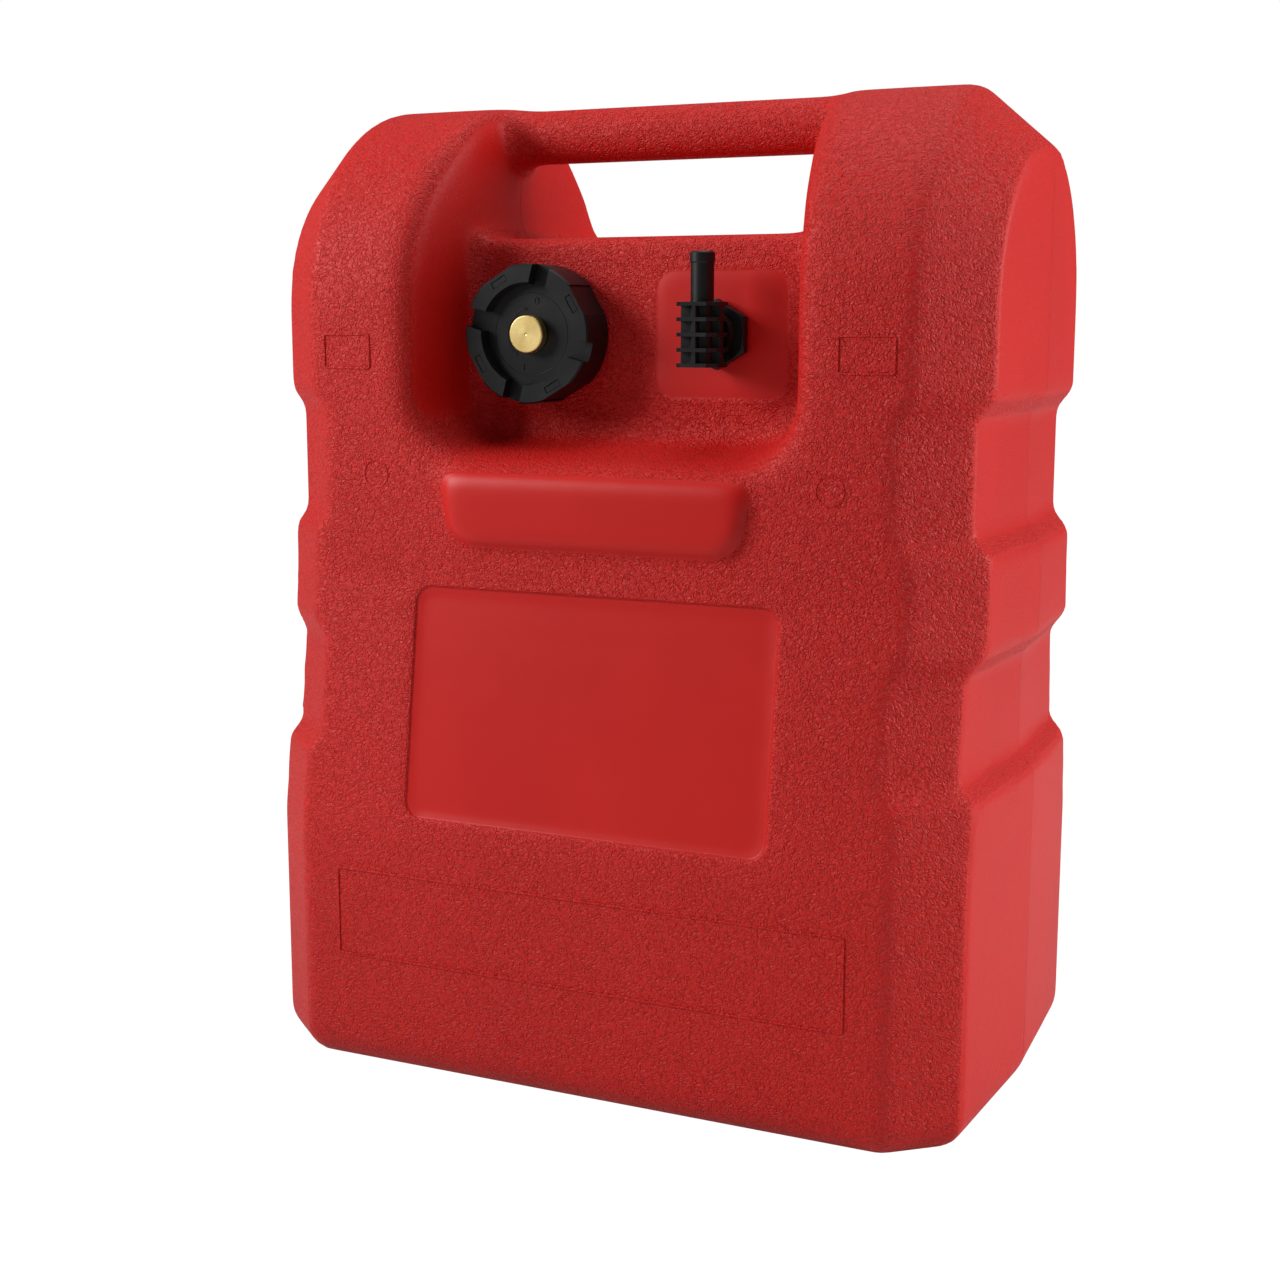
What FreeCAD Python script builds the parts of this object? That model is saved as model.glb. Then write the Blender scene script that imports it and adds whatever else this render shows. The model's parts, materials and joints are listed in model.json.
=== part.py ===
import FreeCAD, Part
import math
import os

V = FreeCAD.Vector

# Frame: X to the right, the front faces -Y, Z up, origin at the middle of the base.

# Tank body
HEIGHT = 480.0
HALF_WIDTH = 187.0
TOP_HALF_DEPTH = 101.0
BASE_HALF_DEPTH = 118.5
SLOPE_BASE = 124.0
SLOPE_DROP = 230.0
SLOPE_BLEND = 60.0
WALL = 4.0
BASE_ROUND = 18.0
FACET_WIDTH = 34.5
FACET_DEPTH = 26.0
SIDE_DRAFT = 0.055
FACET_ROUND = 7.0

# Side bands: the shoulder, the middle band and the lower body stand proud of two inset bands
BAND_INSET = 8.0
BAND_RAMP = 10.0
BAND_LEAD = 2.5
BAND_REACH = 60.0
UPPER_INSET_DROP = 140.0
UPPER_INSET_HEIGHT = 71.0
MIDDLE_BAND_HEIGHT = 42.0
LOWER_INSET_HEIGHT = 67.0

# Recess for the cap and the outlet, and the gap under the handle
RECESS_HALF_WIDTH = 90.0
RECESS_DEPTH = 51.0
RECESS_DROP = 165.0
RECESS_CORNER = 28.0
RECESS_DRAFT = 0.18
LEDGE_DROP = 67.0
GAP_CORNER = 10.0
HANDLE_RADIUS = 14.0
HANDLE_DROP = 1.0
HANDLE_BLEND = 9.0
HANDLE_ROOT = 12.0
RIM_ROUND = 10.0

# Raised lip bar under the recess, sunk label panel and raised pad of the outlet
LIP_HALF_WIDTH = 80.0
LIP_GAP = 11.0
LIP_HEIGHT = 38.0
LIP_PROUD = 5.0
LABEL_HALF_WIDTH = 94.5
LABEL_TOP_GAP = 4.5
LABEL_BASE_GAP = 9.5
LABEL_SINK = 1.2
LABEL_CORNER = 9.0
PAD_WIDTH = 68.0
PAD_HEIGHT = 61.0
PAD_PROUD = 1.0
PAD_CORNER = 10.0

# Filler neck and cap
FILLER_X = -47.5
FITTINGS_DROP = 113.5
NECK_RADIUS = 25.4
NECK_BORE = 21.5
NECK_LENGTH = 12.5
NECK_FOOT = 3.0
CAP_RADIUS = 33.25
CAP_SKIRT_GAP = 2.0
CAP_LIP_HEIGHT = 6.0
CAP_LIP_INNER = 24.4
CAP_GAP_WIDTH = 9.5
CAP_GAP_TURN = 15.0
CAP_FLOOR = 2.5
CAP_SKIRT_WALL = 3.2
CAP_FLUTE_DEPTH = 1.6
CAP_FLUTE_HALF_ANGLE = 14.0
CORE_PLATE = 2.0
CORE_WALL = 2.6
TONGUE_WIDTH = 8.0
TONGUE_THICKNESS = 2.6
GASKET = 2.0
FIT = 0.3
OVERRUN = 12.0
TINY = 0.01
RUNNING_FIT = 0.05

# Vent screw in the cap
VENT_HEAD_RADIUS = 9.0
VENT_SHANK_RADIUS = 3.0
VENT_HUB_WALL = 2.6
VENT_BUSH_WALL = 2.6
VENT_BUSH_LENGTH = 6.0
VENT_HUB_LENGTH = 11.0
VENT_SEAT = 2.4
VENT_HOLE_RADIUS = 1.0
VENT_SEAL = 2.0
VENT_RING = 0.9

# Fuel outlet
OUTLET_X = 43.8
HEX_FLATS = 28.6
HEX_THICKNESS = 5.5
WASHER = 2.0
SPIGOT_RADIUS = 8.2
SPIGOT_LENGTH = 20.0
STEM_RADIUS = 5.0
BORE_RADIUS = 2.9
BOSS_RADIUS = 14.0
BOSS_DEPTH = 10.0
COLLAR_RADIUS = 10.3
COLLAR_LENGTH = 4.4
BLOCK_SIZE = 20.4
BLOCK_CHAMFER = 4.0
BLOCK_HALF_HEIGHT = 14.8
PLATE = 1.8
PLATE_COUNT = 5
RIB = 1.8
COLUMN_RADIUS = 6.2
TAIL_RADIUS = 5.4
TAIL_TOP = 37.7
TAIL_BEAD = 0.4
TAIL_BEAD_LENGTH = 5.4
STEM_RING = 1.0
CLIP_THICKNESS = 1.0

# Pickup inside the tank
PICKUP_WALL = 2.2
PICKUP_CHAMBER = 7.0
TUBE_RADIUS = 6.5
TUBE_BORE = 4.5
TUBE_GAP = 7.0
BARB_LENGTH = 22.0
CLIP_WIDTH = 7.0
CLIP_WALL = 1.2
CLIP_EAR = 4.0
STRAINER_RADIUS = 10.0
STRAINER_HEIGHT = 26.0
STRAINER_FOOT_GAP = 3.0
STRAINER_RIBS = 6
MESH_WALL = 0.5

# Places worked out from the sizes above; a "drop" is measured down from the top of the tank, and a
# "reach" out from the recess wall
SLOPE_TOP = HEIGHT - SLOPE_DROP
UPPER_INSET_TOP = HEIGHT - UPPER_INSET_DROP
UPPER_INSET_BASE = UPPER_INSET_TOP - UPPER_INSET_HEIGHT
LOWER_INSET_TOP = UPPER_INSET_BASE - MIDDLE_BAND_HEIGHT
LOWER_INSET_BASE = LOWER_INSET_TOP - LOWER_INSET_HEIGHT
RECESS_FLOOR = HEIGHT - RECESS_DROP
LEDGE = HEIGHT - LEDGE_DROP
LIP_TOP = RECESS_FLOOR - LIP_GAP
LABEL_TOP = SLOPE_TOP - LABEL_TOP_GAP
LABEL_BASE = SLOPE_BASE + LABEL_BASE_GAP
FITTINGS_Z = HEIGHT - FITTINGS_DROP
ARCH_Z = HEIGHT - TOP_HALF_DEPTH
FACET_X = HALF_WIDTH - FACET_WIDTH
RECESS_WALL_Y = RECESS_DEPTH - TOP_HALF_DEPTH
SLOPE = (BASE_HALF_DEPTH - TOP_HALF_DEPTH) / (SLOPE_TOP - SLOPE_BASE)
HANDLE_Z = HEIGHT - HANDLE_RADIUS - HANDLE_DROP
GASKET_TOP = NECK_LENGTH + GASKET
CORE_TOP = GASKET_TOP + CORE_PLATE
FLOOR_TOP = CORE_TOP + CAP_FLOOR
CAP_TOP = FLOOR_TOP + CAP_LIP_HEIGHT
CORE_RADIUS = CAP_RADIUS - CAP_SKIRT_WALL - FIT
TONGUE_RADIUS = CORE_RADIUS - TONGUE_THICKNESS / 2
VENT_BUSH_RADIUS = VENT_SHANK_RADIUS + VENT_BUSH_WALL
VENT_HUB_RADIUS = VENT_BUSH_RADIUS + VENT_HUB_WALL
VENT_HUB_END = CORE_TOP - VENT_HUB_LENGTH
VENT_SEAT_TOP = VENT_HUB_END + VENT_SEAT
VENT_TIP = VENT_SEAT_TOP + VENT_SEAL
HEX_BASE = PAD_PROUD + WASHER
HEX_TOP = HEX_BASE + HEX_THICKNESS
COLLAR_BASE = HEX_TOP + FIT
BLOCK_CENTRE = COLLAR_BASE + COLLAR_LENGTH + BLOCK_SIZE / 2
STEM_END = -SPIGOT_LENGTH - FIT - CLIP_THICKNESS - 1.0
ELBOW_END = STEM_END - PICKUP_CHAMBER
TUBE_REACH = ELBOW_END + PICKUP_CHAMBER / 2
TUBE_Y = RECESS_WALL_Y - TUBE_REACH
ELBOW_RADIUS = SPIGOT_RADIUS + FIT + PICKUP_WALL
TUBE_TOP = FITTINGS_Z - ELBOW_RADIUS - TUBE_GAP + 3.0
STRAINER_BASE = WALL + STRAINER_FOOT_GAP
TUBE_END = STRAINER_BASE + STRAINER_HEIGHT + FIT


def rounded_wire(corners):
    """Closed wire through (point, radius) corners, with a tangent arc at each radius above 0."""
    edges = []
    last = None
    first = None
    count = len(corners)
    for index, (point, radius) in enumerate(corners):
        to_back = (corners[index - 1][0] - point).normalize()
        to_next = (corners[(index + 1) % count][0] - point).normalize()
        if radius > 0:
            half = to_back.getAngle(to_next) / 2
            reach = radius / math.tan(half)
            start = point + to_back * reach
            end = point + to_next * reach
            bisector = (to_back + to_next).normalize()
            middle = point + bisector * (radius / math.sin(half) - radius)
        else:
            start = end = middle = point
        if last is not None:
            edges.append(Part.makeLine(last, start))
        else:
            first = start
        if radius > 0:
            edges.append(Part.Arc(start, middle, end).toShape())
        last = end
    edges.append(Part.makeLine(last, first))
    return Part.Wire(edges)


def arched_profile(x, inward, base):
    """Side outline of the tank at one x, drawn in from the full outline, with a round arched top."""
    slant = math.sqrt(1 + SLOPE * SLOPE)
    drop = inward * (slant - 1) / SLOPE
    top_y = TOP_HALF_DEPTH - inward
    base_y = BASE_HALF_DEPTH - inward
    knee = rounded_knees(x, top_y, base_y, drop, base)
    arch = Part.Arc(V(x, top_y, ARCH_Z), V(x, 0, ARCH_Z + top_y), V(x, -top_y, ARCH_Z)).toShape()
    floor = Part.makeLine(V(x, -base_y, base), V(x, base_y, base))
    return Part.Wire(mirrored_y(knee) + [arch] + knee[::-1] + [floor])


def rounded_knees(x, top_y, base_y, drop, base):
    """Front edges from the base up to the arch, with the two changes of slope blended by arcs."""
    low = V(x, -base_y, SLOPE_BASE - drop)
    high = V(x, -top_y, SLOPE_TOP - drop)
    slanted = (high - low).normalize()
    up = V(0, 0, 1)
    half_turn = slanted.getAngle(up) / 2
    reach = SLOPE_BLEND * math.tan(half_turn)
    sag = SLOPE_BLEND * (1 / math.cos(half_turn) - 1)
    toward_axis = (slanted - up).normalize()
    low_middle = low + toward_axis * sag
    high_middle = high - toward_axis * sag
    points = [V(x, -base_y, base), low - up * reach, low_middle, low + slanted * reach,
              high - slanted * reach, high_middle, high + up * reach, V(x, -top_y, ARCH_Z)]
    return [Part.makeLine(points[0], points[1]),
            Part.Arc(points[1], points[2], points[3]).toShape(),
            Part.makeLine(points[3], points[4]),
            Part.Arc(points[4], points[5], points[6]).toShape(),
            Part.makeLine(points[6], points[7])]


def mirrored_y(edges):
    """The same edges on the back side of the tank."""
    return [edge.mirror(V(0, 0, 0), V(0, 1, 0)) for edge in edges]


def half_width_at(y, inward):
    """Half width of the side face, which falls away on both sides of the parting line."""
    return HALF_WIDTH - inward - SIDE_DRAFT * abs(y)


def faceted_half(inward):
    """Right half of the arched body, whose front and back run into the side over a slanted facet."""
    facet_slope = FACET_DEPTH / (FACET_WIDTH - SIDE_DRAFT * (TOP_HALF_DEPTH - FACET_DEPTH))
    facet_x = FACET_X - inward * math.tan((math.pi / 2 - math.atan(1 / facet_slope)) / 2)
    end_x = HALF_WIDTH + OVERRUN
    across = end_x - facet_x
    half = Part.Face(arched_profile(0, inward, inward)).extrude(V(end_x, 0, 0))
    rim = edges_where(half, lambda p: p.x > end_x - TINY and p.z > inward + TINY)
    half = half.makeChamfer(across, across * facet_slope, rim)
    far = BASE_HALF_DEPTH + OVERRUN
    plan = [V(0, -far, inward), V(half_width_at(far, inward), -far, inward), V(half_width_at(0, inward), 0, inward),
            V(half_width_at(far, inward), far, inward), V(0, far, inward)]
    side = Part.Face(Part.makePolygon(plan + plan[:1])).extrude(V(0, 0, HEIGHT + OVERRUN))
    half = half.common(side)
    half = rounded_edges(half, FACET_ROUND, lambda p: abs(p.x - facet_x) < 0.1 and p.z > inward + 1)
    half = rounded_edges(half, BASE_ROUND - inward, lambda p: p.z < inward + TINY and p.x > TINY)
    return half, facet_x, facet_slope


def both_sides(half):
    """A right half joined to its mirror image on the left."""
    return half.fuse(half.mirror(V(0, 0, 0), V(1, 0, 0))).removeSplitter()


def solid_between(outlines):
    """Solid with flat faces between outlines that follow one another and have as many corners each."""
    faces = [Part.Face(outlines[0]), Part.Face(outlines[-1])]
    for low, high in zip(outlines, outlines[1:]):
        near = [corner.Point for corner in low.OrderedVertexes]
        far = [corner.Point for corner in high.OrderedVertexes]
        for i in range(len(near)):
            j = (i + 1) % len(near)
            faces.append(Part.Face(Part.makePolygon([near[i], near[j], far[j], far[i], near[i]])))
    solid = Part.Solid(Part.Shell(faces))
    if solid.Volume < 0:
        solid.reverse()
    return solid


def side_section(z, front_y, facet_x, facet_slope, inward, shift):
    """Plan outline of one side of the body at height z, moved in toward the middle by shift."""
    near_x = facet_x - BAND_REACH
    side_y = front_y - (half_width_at(front_y, inward) - facet_x) * facet_slope
    outline = [V(near_x, -front_y, z), V(facet_x - shift, -front_y, z),
               V(half_width_at(side_y, inward) - shift, -side_y, z), V(half_width_at(0, inward) - shift, 0, z),
               V(half_width_at(side_y, inward) - shift, side_y, z), V(facet_x - shift, front_y, z),
               V(near_x, front_y, z)]
    return Part.makePolygon(outline + outline[:1])


def front_half_depth(z, inward):
    """Distance from the middle plane to the front face at height z, without the blends."""
    share = min(max((SLOPE_TOP - z) / (SLOPE_TOP - SLOPE_BASE), 0), 1)
    return TOP_HALF_DEPTH + share * (BASE_HALF_DEPTH - TOP_HALF_DEPTH) - inward


def band_cutter(top, base, facet_x, facet_slope, inward):
    """Solid that takes one inset band out of the right side, with ramps above and below."""
    step = BAND_LEAD * BAND_INSET / BAND_RAMP
    heights = [(base - BAND_LEAD - inward, -step), (base + BAND_RAMP - inward, BAND_INSET),
               (top - BAND_RAMP + inward, BAND_INSET), (top + BAND_LEAD + inward, -step)]
    sections = []
    for z, shift in heights:
        depth = front_half_depth(z, inward)
        sections.append(side_section(z, depth, facet_x, facet_slope, inward, shift))
    low = heights[0][0]
    high = heights[-1][0]
    inner_x = facet_x - BAND_INSET * 2
    far = BASE_HALF_DEPTH + OVERRUN
    block = Part.makeBox(HALF_WIDTH + OVERRUN - inner_x, 2 * far, high - low)
    block.translate(V(inner_x, -far, low))
    return block.cut(solid_between(sections))


def with_bands(half, facet_x, facet_slope, inward):
    """Right half with the two inset bands cut round its side."""
    for top, base in ((UPPER_INSET_TOP, UPPER_INSET_BASE), (LOWER_INSET_TOP, LOWER_INSET_BASE)):
        half = half.cut(band_cutter(top, base, facet_x, facet_slope, inward))
    return half


def recess_outline(y, grow):
    """Outline of the recess across one plane, open upward past the top of the tank."""
    spread = (RECESS_WALL_Y - y) * RECESS_DRAFT + grow
    half = RECESS_HALF_WIDTH + spread
    floor = RECESS_FLOOR - spread
    above = HEIGHT + OVERRUN
    corner = RECESS_CORNER + spread / 2
    return rounded_wire([(V(-half, y, above), 0), (V(-half, y, floor), corner),
                         (V(half, y, floor), corner), (V(half, y, above), 0)])


def recess_cutter(grow):
    """Space in front of the fittings, between the shoulders, with drafted walls."""
    back = RECESS_WALL_Y + grow
    front = -BASE_HALF_DEPTH - OVERRUN
    return Part.makeLoft([recess_outline(back, grow), recess_outline(front, grow)], True, True)


def handle_gap_cutter(grow):
    """Space over the ledge that goes through from front to back under the handle."""
    half = RECESS_HALF_WIDTH + grow
    far = BASE_HALF_DEPTH + OVERRUN
    corner = GAP_CORNER
    above = HEIGHT + OVERRUN
    outline = rounded_wire([(V(-half, -far, above), 0), (V(-half, -far, LEDGE - grow), corner),
                            (V(half, -far, LEDGE - grow), corner), (V(half, -far, above), 0)])
    return Part.Face(outline).extrude(V(0, 2 * far, 0))


def handle_bar(inward):
    """Round bar over the opening, drawn in evenly, with its ends inside the shoulders."""
    root_x = RECESS_HALF_WIDTH + inward + HANDLE_ROOT
    return Part.makeCylinder(HANDLE_RADIUS - inward, 2 * root_x, V(-root_x, 0, HANDLE_Z), V(1, 0, 0))


def handle_flare():
    """Ring that widens the right end of the bar into the shoulder with a hollow blend."""
    wide = HANDLE_RADIUS + HANDLE_BLEND
    narrow_x = RECESS_HALF_WIDTH - HANDLE_BLEND
    root_x = RECESS_HALF_WIDTH + HANDLE_ROOT
    arc_middle = V(narrow_x, 0, HANDLE_Z + wide) + V(math.sin(math.pi / 4), 0, -math.cos(math.pi / 4)) * HANDLE_BLEND
    corners = [V(narrow_x, 0, HANDLE_Z + HANDLE_RADIUS), V(narrow_x, 0, HANDLE_Z), V(root_x, 0, HANDLE_Z),
               V(root_x, 0, HANDLE_Z + wide), V(RECESS_HALF_WIDTH, 0, HANDLE_Z + wide)]
    flank = Part.Arc(corners[-1], arc_middle, corners[0]).toShape()
    outline = Part.Wire(Part.makePolygon(corners).Edges + [flank])
    return Part.Face(outline).revolve(V(0, 0, HANDLE_Z), V(1, 0, 0), 360)


def outward(shape, x):
    """Turn a shape built along +Z so that it stands out of the recess wall at x."""
    shape = shape.copy()
    shape.rotate(V(0, 0, 0), V(1, 0, 0), 90)
    shape.translate(V(x, RECESS_WALL_Y, FITTINGS_Z))
    return shape


def disc(radius, low, high):
    """Round solid about the local axis between two reaches."""
    return Part.makeCylinder(radius, high - low, V(0, 0, low))


def ring(outer, inner, low, high):
    """Round sleeve about the local axis between two reaches."""
    return disc(outer, low, high).cut(disc(inner, low - 1, high + 1))


def revolved(points):
    """Solid of revolution about the local axis of an outline given as (radius, reach)."""
    outline = [V(radius, 0, reach) for radius, reach in points]
    face = Part.Face(Part.makePolygon(outline + outline[:1]))
    return face.revolve(V(0, 0, 0), V(0, 0, 1), 360)


def drafted_pad(outline_at, low, high, draft):
    """Solid between an outline at its foot and the same outline drawn in at its face."""
    return Part.makeLoft([outline_at(low, 0), outline_at(high, draft)], True, True)


def lip_outline(y, drawn_in):
    """Outline of the bar under the recess, narrower toward its rounded lower corners."""
    half = LIP_HALF_WIDTH - drawn_in
    top = LIP_TOP - drawn_in
    base = LIP_TOP - LIP_HEIGHT + drawn_in
    taper = 4.0
    return rounded_wire([(V(-half, y, top), 5), (V(half, y, top), 5),
                         (V(half - taper, y, base), 14), (V(taper - half, y, base), 14)])


def lip_bar():
    """Smooth raised bar between the recess and the label panel."""
    foot = -TOP_HALF_DEPTH + 2.0
    face = -TOP_HALF_DEPTH - LIP_PROUD
    return drafted_pad(lip_outline, foot, face, LIP_PROUD * 0.7)


def outlet_pad():
    """Smooth raised square on the recess wall under the outlet."""
    def outline(y, drawn_in):
        half = PAD_WIDTH / 2 - drawn_in
        tall = PAD_HEIGHT / 2 - drawn_in
        return rounded_wire([(V(OUTLET_X - half, y, FITTINGS_Z - tall), PAD_CORNER),
                             (V(OUTLET_X + half, y, FITTINGS_Z - tall), PAD_CORNER),
                             (V(OUTLET_X + half, y, FITTINGS_Z + tall), PAD_CORNER),
                             (V(OUTLET_X - half, y, FITTINGS_Z + tall), PAD_CORNER)])
    return drafted_pad(outline, RECESS_WALL_Y + 2.0, RECESS_WALL_Y - PAD_PROUD, PAD_PROUD)


def label_cutter():
    """Thin slab that sinks the label panel into the slanted part of the front."""
    angle = math.degrees(math.atan(SLOPE))
    middle_z = (LABEL_TOP + LABEL_BASE) / 2
    half_tall = (LABEL_TOP - LABEL_BASE) / 2 * math.sqrt(1 + SLOPE * SLOPE)
    half = LABEL_HALF_WIDTH
    outline = rounded_wire([(V(-half, 0, -half_tall), LABEL_CORNER), (V(half, 0, -half_tall), LABEL_CORNER),
                            (V(half, 0, half_tall), LABEL_CORNER), (V(-half, 0, half_tall), LABEL_CORNER)])
    slab = Part.Face(outline).extrude(V(0, -10, 0))
    slab.translate(V(0, LABEL_SINK, 0))
    slab.rotate(V(0, 0, 0), V(1, 0, 0), -angle)
    slab.translate(V(0, -front_half_depth(middle_z, 0), middle_z))
    return slab


def edges_where(shape, test):
    """Edges of a shape whose middle point passes a test."""
    return [edge for edge in shape.Edges
            if test(edge.valueAt((edge.FirstParameter + edge.LastParameter) / 2))]


def rounded_edges(shape, radius, test):
    """Shape with a fillet on each edge that passes the test."""
    return shape.makeFillet(radius, edges_where(shape, test))


def tank_form(inward):
    """Tank body with its bands, recess, handle and the gap under it, drawn in evenly by a wall."""
    half, facet_x, facet_slope = faceted_half(inward)
    body = both_sides(with_bands(half, facet_x, facet_slope, inward))
    body = body.cut(recess_cutter(inward)).cut(handle_gap_cutter(inward))
    body = rounded_edges(body, RIM_ROUND - inward, lambda p: on_recess_rim(p, inward))
    return body.fuse(handle_bar(inward))


def on_recess_rim(point, inward):
    """True on the front edge of the recess below the arched top."""
    on_front = abs(point.y + TOP_HALF_DEPTH - inward) < 0.3
    return on_front and abs(point.x) < FACET_X - 40 and RECESS_FLOOR - 20 < point.z < ARCH_Z


def tank_shell():
    """Hollow tank with the filler neck and the inner boss of the outlet moulded on."""
    flare = handle_flare().common(faceted_half(0)[0])
    outside = tank_form(0).fuse([flare, flare.mirror(V(0, 0, 0), V(1, 0, 0))])
    outside = outside.cut(label_cutter()).fuse([lip_bar(), outlet_pad()])
    shell = outside.cut(tank_form(WALL))
    foot = NECK_RADIUS + NECK_FOOT
    neck = revolved([(0, -WALL + 0.5), (foot, -WALL + 0.5), (foot, 0), (NECK_RADIUS, NECK_FOOT),
                     (NECK_RADIUS, NECK_LENGTH), (0, NECK_LENGTH)])
    boss = disc(BOSS_RADIUS, -BOSS_DEPTH, PAD_PROUD)
    shell = shell.fuse([outward(neck, FILLER_X), outward(boss, OUTLET_X)])
    mouth = outward(disc(NECK_BORE, -WALL - 6, NECK_LENGTH + 1), FILLER_X)
    socket = outward(disc(SPIGOT_RADIUS + FIT / 2, -BOSS_DEPTH - 1, PAD_PROUD + 1), OUTLET_X)
    return shell.cut(mouth).cut(socket).removeSplitter()


def around_axis(shape, turns):
    """Copies of a shape turned clockwise from the top, as seen from the front."""
    copies = []
    for turn in turns:
        copy = shape.copy()
        copy.rotate(V(0, 0, 0), V(0, 0, 1), -turn)
        copies.append(copy)
    return copies


def centred_box(width, depth, low, high, x=0.0, y=0.0):
    """Box with a middle at x and y between two reaches."""
    return Part.makeBox(width, depth, high - low, V(x - width / 2, y - depth / 2, low))


def lug_turns():
    """Turn of the middle of each lug of the cap."""
    return [CAP_GAP_TURN + 45 + 90 * index for index in range(4)]


def gap_turns():
    """Turn of each gap between the lugs of the cap."""
    return [CAP_GAP_TURN + 90 * index for index in range(4)]


def cap_cover():
    """Outer cap: fluted skirt, sunk floor and a raised rim cut into four lugs."""
    chamfer = 0.8
    cover = revolved([(0, CORE_TOP), (CAP_RADIUS - CAP_SKIRT_WALL, CORE_TOP),
                      (CAP_RADIUS - CAP_SKIRT_WALL, CAP_SKIRT_GAP), (CAP_RADIUS - chamfer, CAP_SKIRT_GAP),
                      (CAP_RADIUS, CAP_SKIRT_GAP + chamfer), (CAP_RADIUS, CAP_TOP - chamfer),
                      (CAP_RADIUS - chamfer, CAP_TOP), (CAP_LIP_INNER, CAP_TOP),
                      (CAP_LIP_INNER - 1, FLOOR_TOP), (0, FLOOR_TOP)])
    gap = centred_box(CAP_GAP_WIDTH, CAP_RADIUS, FLOOR_TOP, CAP_TOP + 1, 0, CAP_RADIUS)
    for tool in around_axis(gap, gap_turns()):
        cover = cover.cut(tool)
    flat = centred_box(CAP_RADIUS * 2 * math.sin(math.radians(CAP_FLUTE_HALF_ANGLE)), 10, 0, CAP_TOP + 2, 0,
                       CAP_RADIUS - CAP_FLUTE_DEPTH + 5)
    window = centred_box(TONGUE_WIDTH + 2 * FIT, TONGUE_THICKNESS + 2 * FIT, CORE_TOP - 1, CAP_TOP + 1, 0,
                         TONGUE_RADIUS)
    for tool in around_axis(flat, lug_turns()) + around_axis(window, lug_turns()):
        cover = cover.cut(tool)
    shank_hole = disc(VENT_SHANK_RADIUS + 2 * VENT_RING + RUNNING_FIT, CORE_TOP - 1, FLOOR_TOP + 1)
    return outward(cover.cut(shank_hole), FILLER_X)


def cap_core():
    """Inner cap that screws on the neck, with four snap tongues and the hub of the vent."""
    inner = CORE_RADIUS - CORE_WALL
    core = revolved([(VENT_BUSH_RADIUS, CORE_TOP), (VENT_BUSH_RADIUS, VENT_HUB_END),
                     (VENT_HUB_RADIUS, VENT_HUB_END), (VENT_HUB_RADIUS, GASKET_TOP),
                     (inner, GASKET_TOP), (inner, CAP_SKIRT_GAP + 1), (CORE_RADIUS, CAP_SKIRT_GAP + 1),
                     (CORE_RADIUS, CORE_TOP)])
    tongue = centred_box(TONGUE_WIDTH, TONGUE_THICKNESS, CORE_TOP - 1, CAP_TOP - 0.3, 0, TONGUE_RADIUS)
    core = core.fuse(around_axis(tongue, lug_turns()))
    return outward(core.removeSplitter(), FILLER_X)


def cap_gasket():
    """Flat rubber ring between the inner cap and the lip of the neck."""
    return outward(ring(NECK_RADIUS, NECK_BORE - 1, NECK_LENGTH, GASKET_TOP), FILLER_X)


def vent_bush():
    """Threaded brass sleeve pressed into the hub of the inner cap."""
    bore = VENT_SHANK_RADIUS + RUNNING_FIT
    return outward(ring(VENT_BUSH_RADIUS, bore, CORE_TOP - VENT_BUSH_LENGTH, CORE_TOP), FILLER_X)


def vent_seat():
    """Plug at the end of the hub, with the breather hole that the vent screw closes."""
    seat = revolved([(VENT_HOLE_RADIUS, VENT_HUB_END), (VENT_BUSH_RADIUS, VENT_HUB_END),
                     (VENT_BUSH_RADIUS, VENT_SEAT_TOP - 0.8), (VENT_HOLE_RADIUS + 1, VENT_SEAT_TOP - 0.8),
                     (VENT_HOLE_RADIUS + 0.5, VENT_SEAT_TOP), (VENT_HOLE_RADIUS, VENT_SEAT_TOP)])
    return outward(seat, FILLER_X)


def vent_seal():
    """Rubber pad on the tip of the vent screw."""
    return outward(disc(VENT_SHANK_RADIUS - 0.3, VENT_SEAT_TOP, VENT_TIP), FILLER_X)


def vent_screw():
    """Brass vent screw: flat round head, plain neck and a shank in the bush."""
    head_base = FLOOR_TOP + FIT
    edge = 0.5
    screw = revolved([(0, VENT_TIP), (VENT_SHANK_RADIUS - 0.3, VENT_TIP), (VENT_SHANK_RADIUS, VENT_TIP + 0.3),
                      (VENT_SHANK_RADIUS, head_base), (VENT_HEAD_RADIUS - edge, head_base),
                      (VENT_HEAD_RADIUS, head_base + edge), (VENT_HEAD_RADIUS, CAP_TOP - edge),
                      (VENT_HEAD_RADIUS - edge, CAP_TOP), (0, CAP_TOP)])
    return outward(screw, FILLER_X)


def o_ring(inner, section, reach):
    """Round rubber ring about the local axis."""
    return Part.makeTorus(inner + section, section, V(0, 0, reach))


def vent_ring():
    """Sealing ring round the neck of the vent screw, in the floor of the cap."""
    return outward(o_ring(VENT_SHANK_RADIUS, VENT_RING, CORE_TOP + VENT_RING + 0.2), FILLER_X)


def hexagon(flats, low, high):
    """Six-sided prism with two flats upright."""
    corner = flats / math.sqrt(3)
    points = [V(corner * math.sin(math.radians(60 * i)), corner * math.cos(math.radians(60 * i)), low)
              for i in range(6)]
    return Part.Face(Part.makePolygon(points + points[:1])).extrude(V(0, 0, high - low))


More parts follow.
